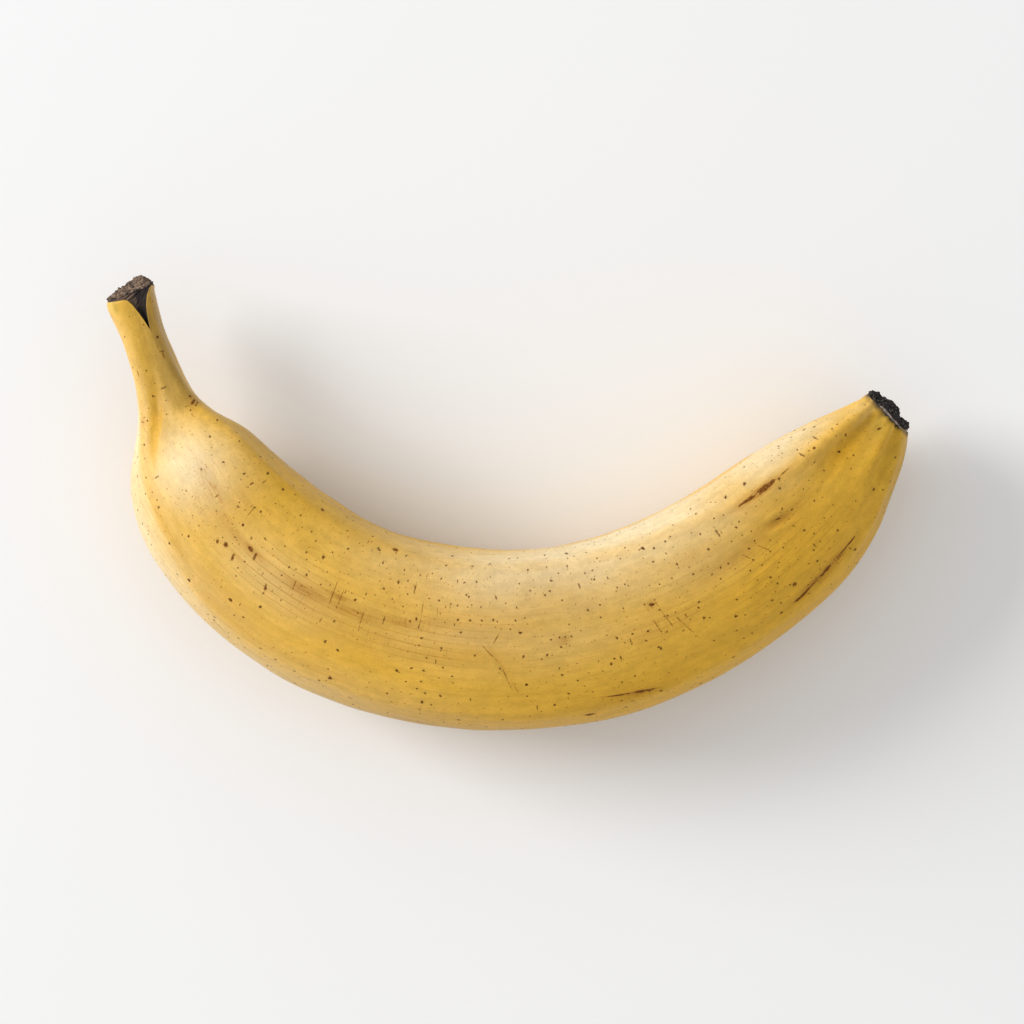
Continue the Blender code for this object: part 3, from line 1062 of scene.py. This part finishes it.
def peel_patterns(tree):
    """What the steps of the peel share: its map, the node groups, the noises and the streaks."""
    straight = attribute(tree, "straight", "Vector")
    drawn_out = stretched(tree, straight, (0.5, 1, 1))
    fibres = shared_group("Fibres", fibre_group)
    return SimpleNamespace(
        map_at=put(tree, "ShaderNodeUVMap", uv_map="peel_map").outputs[0],
        fibres=fibres,
        broad=noise(tree, drawn_out, 36.0, 2.0),
        cloudy=noise(tree, drawn_out, 90.0, 3.0),
        mottled=noise(tree, stretched(tree, straight, (0.6, 1, 1)), 620.0, 3.0, 0.6),
        grainy=noise(tree, straight, 2600.0, 2.0, 0.6),
        long_streaks=place_group(tree, fibres, {"Vector": straight, "Across": 0.0011, "Along": 0.03}),
        fine_streaks=place_group(tree, fibres, {"Vector": straight, "Across": 0.00045, "Along": 0.014}),
        rubbed=attribute(tree, "rubbed"),
    )


def ground_colour(tree, settings, seen):
    """Gold with cream areas that are partly painted highlight, amber and dull areas that are partly painted
    shade in folds, on facets turned from the lamp and along the under edge, and greenish areas, all shaded
    by the mottling and long streaks.
    """
    # Cream patches: partly painted highlight on the shoulder and the facets that face the lamp.
    pale = scaled(tree, attribute(tree, "pale"), spread(tree, seen.cloudy, 0.25, 0.65, 0.75, 1.0))
    colour = blend(tree, maths(tree, "MINIMUM", pale, 1.0), settings.gold, settings.cream_and_highlight)
    # Amber: real along the ridges and in broad patches, painted shade in the sunk folds and deep patches.
    deep = largest(tree, (
        attribute(tree, "deep"), scaled(tree, attribute(tree, "raised"), 0.5),
        scaled(tree, attribute(tree, "sunk"), 0.9), spread(tree, seen.broad, 0.5, 0.75, 0.0, 0.45),
    ))
    colour = blend(tree, scaled(tree, deep, 0.85), colour, settings.amber_and_shade)
    # Dull colour: partly painted shade on the stalk, on facets turned from the lamp and along the under
    # edge.
    colour = blend(tree, scaled(tree, attribute(tree, "dull_and_shade"), 0.9), colour, settings.dull_and_shade)
    colour = blend(tree, scaled(tree, attribute(tree, "green"), 0.8), colour, settings.green)
    shade = scaled(
        tree, spread(tree, seen.mottled, 0.3, 0.7, 0.9, 1.04),
        spread(tree, seen.grainy, 0.3, 0.7, 0.96, 1.03),
        spread(tree, seen.long_streaks, 0.3, 0.7, 0.955, 1.02),
    )
    tint = put(tree, "ShaderNodeCombineColor", {"Red": shade, "Green": shade, "Blue": shade})
    return blend(tree, 1.0, colour, tint.outputs[0], "MULTIPLY")


def worn_colour(tree, settings, seen, colour):
    """Adds lengthwise rib lines, rubbed streaks in a brown wash, fine cross scratches and bruises.
    Also returns the mask of the rubbed streaks."""
    ribs = put(
        tree, "ShaderNodeTexWave",
        {"Vector": stretched(tree, seen.map_at, (0.1, 1, 1)), "Scale": 215.0, "Distortion": 5.0,
         "Detail": 1.0, "Detail Scale": 0.35},
        bands_direction="Y",
    ).outputs["Fac"]
    rib_lines = scaled(
        tree, spread(tree, ribs, 0.09, 0.0), attribute(tree, "ribbed"),
        spread(tree, seen.cloudy, 0.35, 0.6, 0.08, 0.5),
    )
    colour = blend(tree, rib_lines, colour, settings.rub_brown)
    rub = scaled(
        tree, seen.rubbed, spread(tree, seen.fine_streaks, 0.38, 0.6),
        spread(tree, seen.mottled, 0.36, 0.58),
    )
    wash = scaled(tree, seen.rubbed, spread(tree, seen.cloudy, 0.3, 0.6, 0.2, 0.36))
    colour = blend(tree, maths(tree, "ADD", scaled(tree, rub, 0.6), wash), colour, settings.rub_brown)
    hatch = place_group(tree, seen.fibres, {"Vector": seen.map_at, "Across": 0.005, "Along": 0.00035})
    hatch = scaled(tree, spread(tree, hatch, 0.58, 0.66), seen.rubbed, 0.5)
    colour = blend(tree, hatch, colour, settings.scab_brown)
    colour = blend(tree, scaled(tree, attribute(tree, "bruised"), 0.4), colour, settings.rub_brown)
    return colour, rub


def freckled_colour(tree, settings, seen, colour):
    """Adds faint pores, small dots, larger spots, and dashes across the fruit. Also returns the mask
    of all but the pores."""
    freckles = shared_group("Freckles", freckle_group)
    speckled = attribute(tree, "speckled")
    pores = place_group(
        tree, freckles,
        {"Map": seen.map_at, "Along": 0.0014, "Across": 0.0014, "Size": 0.11,
         "Share": maths(tree, "ADD", speckled, 0.4)},
    )
    colour = blend(tree, scaled(tree, pores, 0.55), colour, settings.rub_brown)
    crowd = spread(tree, seen.cloudy, 0.4, 0.62, 0.1, 0.8)
    dots = place_group(
        tree, freckles,
        {"Map": seen.map_at, "Along": 0.0024, "Across": 0.0024, "Size": 0.1,
         "Share": maths(tree, "ADD", crowd, scaled(tree, speckled, 0.35))},
    )
    shifted = put(
        tree, "ShaderNodeVectorMath", {0: seen.map_at, 1: (0.31, 0.17, 0)}, operation="ADD"
    ).outputs[0]
    spots = place_group(
        tree, freckles,
        {"Map": shifted, "Along": 0.006, "Across": 0.0056, "Size": 0.058, "Share": 0.5},
    )
    dashes = place_group(
        tree, freckles,
        {"Map": shifted, "Along": 0.0024, "Across": 0.0085, "Size": 0.085,
         "Share": maths(tree, "ADD", scaled(tree, seen.rubbed, 0.6), 0.1)},
    )
    brown = largest(
        tree, (scaled(tree, dots, 0.85), scaled(tree, spots, 0.95), scaled(tree, dashes, 0.75))
    )
    return blend(tree, brown, colour, settings.freckle_brown), brown


def marked_colour(tree, settings, seen, colour):
    """Adds the single scabs and scratches with their soft halos. Also returns the scabs' mask."""
    ragged = spread(tree, seen.mottled, 0.25, 0.75, 0.85, -0.85)
    scabs, scab_halo = marks_mask(tree, seen.map_at, ragged, SCABS)
    scratches, scratch_halo = marks_mask(tree, seen.map_at, ragged, SCRATCHES)
    halo = scaled(
        tree, largest(tree, (scab_halo, scratch_halo)), spread(tree, seen.mottled, 0.35, 0.65, 0.05, 0.4)
    )
    colour = blend(tree, halo, colour, settings.rub_brown)
    scab_parts = scaled(tree, scabs, spread(tree, seen.grainy, 0.35, 0.55, 0.6, 0.95))
    colour = blend(tree, scab_parts, colour, settings.scab_brown)
    scratch_parts = scaled(tree, scratches, spread(tree, seen.grainy, 0.4, 0.55, 0.2, 0.6))
    return blend(tree, scratch_parts, colour, settings.scab_brown), scabs


def peel_material(settings):
    """Waxy ripe peel: its ground colour, then wear, freckles, single marks and stains at both ends,
    the one beside the blossom end partly painted shadow under its rim. What is rubbed or brown is a little
    rougher."""
    material, tree, shader = new_material("peel")
    seen = peel_patterns(tree)
    colour = ground_colour(tree, settings, seen)
    colour, rub = worn_colour(tree, settings, seen, colour)
    colour, brown = freckled_colour(tree, settings, seen, colour)
    colour, scabs = marked_colour(tree, settings, seen, colour)
    # Band beside the blossom end: partly stain, partly painted shadow under its rim.
    stain_and_shadow = scaled(tree, attribute(tree, "stained_and_shadowed"), spread(tree, seen.mottled, 0.3, 0.6, 0.4, 1.0))
    colour = blend(tree, scaled(tree, stain_and_shadow, 0.85), colour, settings.stain_and_shadow)
    colour = blend(tree, spread(tree, attribute(tree, "lip"), 0.02, 0.5), colour, settings.stain_and_shadow)

    rough = maths(tree, "ADD", settings.roughness, scaled(tree, largest(tree, (rub, brown, scabs)), 0.2))
    rough = maths(tree, "ADD", rough, spread(tree, seen.mottled, 0.3, 0.7, -0.04, 0.05))
    height = maths(tree, "ADD", scaled(tree, seen.grainy, 0.4), scaled(tree, seen.long_streaks, 0.45))
    height = maths(tree, "ADD", height, scaled(tree, seen.fine_streaks, 0.3))
    finish_surface(tree, shader, colour, rough, height, 0.00012)
    shader.inputs["Specular IOR Level"].default_value = 0.14
    shader.inputs["Subsurface Weight"].default_value = 0.1
    shader.inputs["Subsurface Scale"].default_value = 0.0015
    shader.inputs["Subsurface Radius"].default_value = (1.0, 0.6, 0.2)
    return material


def stalk_material(settings):
    """Dry stalk core: brown speckled cut face, dark torn side with light fibres, and black painted
    shadow on the notch's inner side and towards its bottom."""
    material, tree, shader = new_material("stalk_end")
    fibres = shared_group("Fibres", fibre_group)
    straight = attribute(tree, "straight", "Vector")
    cut = attribute(tree, "cut")
    dark_and_shadowed = attribute(tree, "dark_and_shadowed")
    speckle = noise(tree, straight, 1500.0, 3.0, 0.7)
    flecks = noise(tree, straight, 3400.0, 2.0, 0.6)
    fan = attribute(tree, "fan", "Vector")
    streaks = place_group(tree, fibres, {"Vector": fan, "Across": 0.00034, "Along": 0.006})

    face = blend(tree, spread(tree, speckle, 0.4, 0.62), settings.dark_brown, settings.dry_brown)
    face = blend(tree, spread(tree, flecks, 0.6, 0.72, 0.0, 0.7), face, settings.straw_and_highlight)
    torn = blend(tree, spread(tree, streaks, 0.42, 0.66), settings.dark_brown, settings.dry_brown)
    torn = blend(tree, spread(tree, streaks, 0.6, 0.7, 0.0, 0.6), torn, settings.straw_and_highlight)
    # Black painted shadow on the notch's inner side and towards its bottom.
    torn = blend(tree, scaled(tree, dark_and_shadowed, 0.92), torn, settings.blossom_black_and_shadow)
    colour = blend(tree, cut, torn, face)
    colour = blend(tree, scaled(tree, attribute(tree, "rim"), 0.75), colour, settings.blossom_black_and_shadow)
    height = maths(tree, "ADD", scaled(tree, speckle, 0.6), scaled(tree, streaks, 0.8))
    roughness = spread(tree, speckle, 0.3, 0.7, 0.75, 0.95)
    finish_surface(tree, shader, colour, roughness, height, 0.0003)
    shader.inputs["Specular IOR Level"].default_value = 0.25
    return material


def blossom_material(settings):
    """Dried blossom: near black, with grey crumbs, black painted shadow in the pit between rim and knob,
    and a thin pale painted highlight along the lip.
    """
    material, tree, shader = new_material("blossom_end")
    fibres = shared_group("Fibres", fibre_group)
    straight = attribute(tree, "straight", "Vector")
    crumbs = noise(tree, straight, 2400.0, 3.0, 0.7)
    wrinkles = place_group(tree, fibres, {"Vector": straight, "Across": 0.0006, "Along": 0.0018})
    colour = blend(tree, spread(tree, crumbs, 0.5, 0.68, 0.0, 0.6), settings.blossom_black_and_shadow, settings.ash)
    colour = blend(tree, spread(tree, crumbs, 0.59, 0.69, 0.0, 0.75), colour, settings.straw_and_highlight)
    # Black painted shadow in the pit.
    colour = blend(tree, scaled(tree, attribute(tree, "pit_shadow"), 0.95), colour, settings.blossom_black_and_shadow)
    # Painted highlight along the lip.
    lip = scaled(tree, attribute(tree, "lip"), spread(tree, wrinkles, 0.3, 0.55, 0.3, 1.0))
    colour = blend(tree, lip, colour, settings.straw_and_highlight)
    height = maths(tree, "ADD", scaled(tree, crumbs, 0.7), scaled(tree, wrinkles, 0.7))
    roughness = spread(tree, crumbs, 0.35, 0.65, 0.6, 0.85)
    finish_surface(tree, shader, colour, roughness, height, 0.0003)
    shader.inputs["Specular IOR Level"].default_value = 0.12
    return material


# ---- Stage ----


def make_floor(settings):
    """Plain pale square that the fruit lies on."""
    mesh = bpy.data.meshes.new("floor")
    half = 3.0
    corners = ((-half, -half, 0), (half, -half, 0), (half, half, 0), (-half, half, 0))
    mesh.from_pydata(corners, [], [(0, 1, 2, 3)])
    floor = bpy.data.objects.new("floor", mesh)
    bpy.context.scene.collection.objects.link(floor)
    material = bpy.data.materials.new("plain_floor")
    material.use_nodes = True
    shader = material.node_tree.nodes["Principled BSDF"]
    shader.inputs["Base Color"].default_value = (*settings.floor_colour, 1)
    shader.inputs["Roughness"].default_value = 0.9
    shader.inputs["Specular IOR Level"].default_value = 0.1
    mesh.materials.append(material)


def make_light(settings, aim):
    """Even white surroundings, and one soft square lamp turned to face a point."""
    world = bpy.data.worlds.new("studio")
    world.use_nodes = True
    background = world.node_tree.nodes["Background"]
    background.inputs["Color"].default_value = (1, 1, 1, 1)
    background.inputs["Strength"].default_value = settings.sky_strength
    bpy.context.scene.world = world
    data = bpy.data.lights.new("key", "AREA")
    data.energy = settings.key_power
    data.size = settings.key_size
    lamp = bpy.data.objects.new("key", data)
    lamp.location = settings.key_place
    lamp.rotation_euler = (aim - Vector(settings.key_place)).to_track_quat("-Z", "Y").to_euler()
    bpy.context.scene.collection.objects.link(lamp)


def make_camera(settings, aim):
    """Camera that looks straight down. Its distance is view width times lens over sensor width."""
    camera_data = bpy.data.cameras.new("camera")
    camera_data.lens = settings.lens
    camera_data.clip_start = 0.01
    camera = bpy.data.objects.new("camera", camera_data)
    distance = settings.view_width * settings.lens / camera_data.sensor_width
    camera.location = aim + Vector((*settings.view_shift, distance))
    bpy.context.scene.collection.objects.link(camera)
    bpy.context.scene.camera = camera


def make_stage(settings):
    middle = (Vector(CAD_BOX[0]) + Vector(CAD_BOX[1])) / 2
    make_floor(settings)
    make_light(settings, middle)
    make_camera(settings, middle)
    bpy.context.scene.view_settings.view_transform = "Standard"


# ---- Operators ----


class BANANA_OT_peel(bpy.types.Operator):
    """Make the peel, from the torn stalk edge to the blossom end"""

    bl_idname = "banana.peel"
    bl_label = "Peel"

    def execute(self, context):
        make_peel(context.scene.banana_peel)
        return {"FINISHED"}


class BANANA_OT_stalk_end(bpy.types.Operator):
    """Make the dry core that shows at the cut and torn end of the stalk"""

    bl_idname = "banana.stalk_end"
    bl_label = "Stalk end"

    def execute(self, context):
        make_stalk_end(context.scene.banana_ends)
        return {"FINISHED"}


class BANANA_OT_blossom_end(bpy.types.Operator):
    """Make the dried blossom end: its rim and the lumpy knob inside it"""

    bl_idname = "banana.blossom_end"
    bl_label = "Blossom end"

    def execute(self, context):
        make_blossom_end(context.scene.banana_ends)
        return {"FINISHED"}


class BANANA_OT_stage(bpy.types.Operator):
    """Make the floor, the surroundings, the lamps and the camera"""

    bl_idname = "banana.stage"
    bl_label = "Stage"

    def execute(self, context):
        make_stage(context.scene.banana_stage)
        return {"FINISHED"}


STEPS = (BANANA_OT_peel, BANANA_OT_stalk_end, BANANA_OT_blossom_end, BANANA_OT_stage)


class BANANA_PT_sidebar(bpy.types.Panel):
    """Sizes and colours, and one button for each piece"""

    bl_idname = "BANANA_PT_sidebar"
    bl_label = "Banana"
    bl_space_type = "VIEW_3D"
    bl_region_type = "UI"
    bl_category = "Banana"

    def draw(self, context):
        for step in STEPS:
            self.layout.operator(step.bl_idname)
        for group in (context.scene.banana_peel, context.scene.banana_ends, context.scene.banana_stage):
            box = self.layout.box()
            for name in group.__annotations__:
                box.prop(group, name)


SETTINGS = {"banana_peel": PeelSettings, "banana_ends": EndSettings, "banana_stage": StageSettings}
CLASSES = (*SETTINGS.values(), *STEPS, BANANA_PT_sidebar)


def register():
    for item in CLASSES:
        bpy.utils.register_class(item)
    for name, group in SETTINGS.items():
        setattr(bpy.types.Scene, name, bpy.props.PointerProperty(type=group))


def unregister():
    for name in SETTINGS:
        delattr(bpy.types.Scene, name)
    for item in reversed(CLASSES):
        bpy.utils.unregister_class(item)


def main():
    register()
    bpy.ops.banana.peel()
    bpy.ops.banana.stalk_end()
    bpy.ops.banana.blossom_end()
    bpy.ops.banana.stage()


if __name__ == "__main__":
    main()
